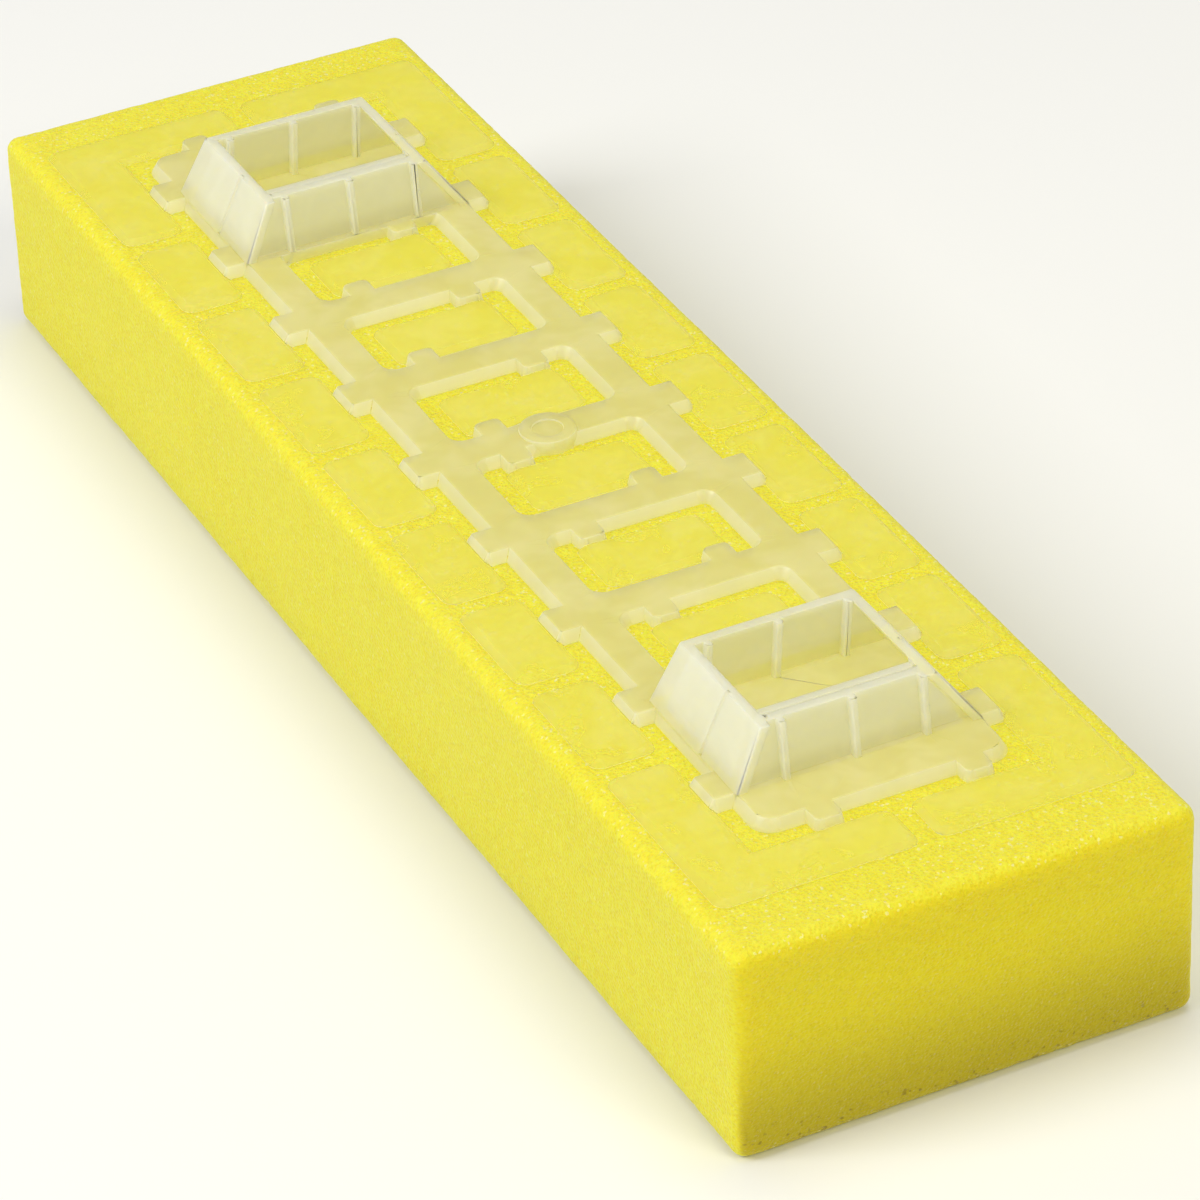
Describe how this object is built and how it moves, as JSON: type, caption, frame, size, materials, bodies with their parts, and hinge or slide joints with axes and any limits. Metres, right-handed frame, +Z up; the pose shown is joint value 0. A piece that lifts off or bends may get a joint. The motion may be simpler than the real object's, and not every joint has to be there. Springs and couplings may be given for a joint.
{
  "type": "grout float pad",
  "caption": "Long narrow foam pad with a moulded ladder-shaped backing plate, thin glued leaves and two hollow snap bosses, for the handle base of a grout float.",
  "frame": {"origin": "middle of the foam's flat working face, at the bottom centre of the whole part", "axes": "+Z up from the working face to the backing plate, Y along the pad with the near boss at -Y, X across the pad"},
  "size_m": [0.083, 0.297, 0.0529],
  "materials": {
    "yellow_foam": "open-cell polyurethane foam, matt",
    "natural_plastic": "translucent natural polypropylene, semi-gloss",
    "clear_glue": "clear glue wetting the foam"
  },
  "bodies": {
    "root": {"foam_pad": "yellow_foam", "backing_plate": "natural_plastic", "bond_centre_1": "clear_glue", "bond_centre_2": "clear_glue", "bond_centre_3": "clear_glue", "bond_centre_4": "clear_glue", "bond_centre_5": "clear_glue", "bond_centre_6": "clear_glue", "bond_far_left_corner": "clear_glue", "bond_far_right_corner": "clear_glue", "bond_left_1": "clear_glue", "bond_left_2": "clear_glue", "bond_left_3": "clear_glue", "bond_left_4": "clear_glue", "bond_left_5": "clear_glue", "bond_left_6": "clear_glue", "bond_left_7": "clear_glue", "bond_near_left_corner": "clear_glue", "bond_near_right_corner": "clear_glue", "bond_right_1": "clear_glue", "bond_right_2": "clear_glue", "bond_right_3": "clear_glue", "bond_right_4": "clear_glue", "bond_right_5": "clear_glue", "bond_right_6": "clear_glue", "bond_right_7": "clear_glue"}
  },
  "joints": []
}
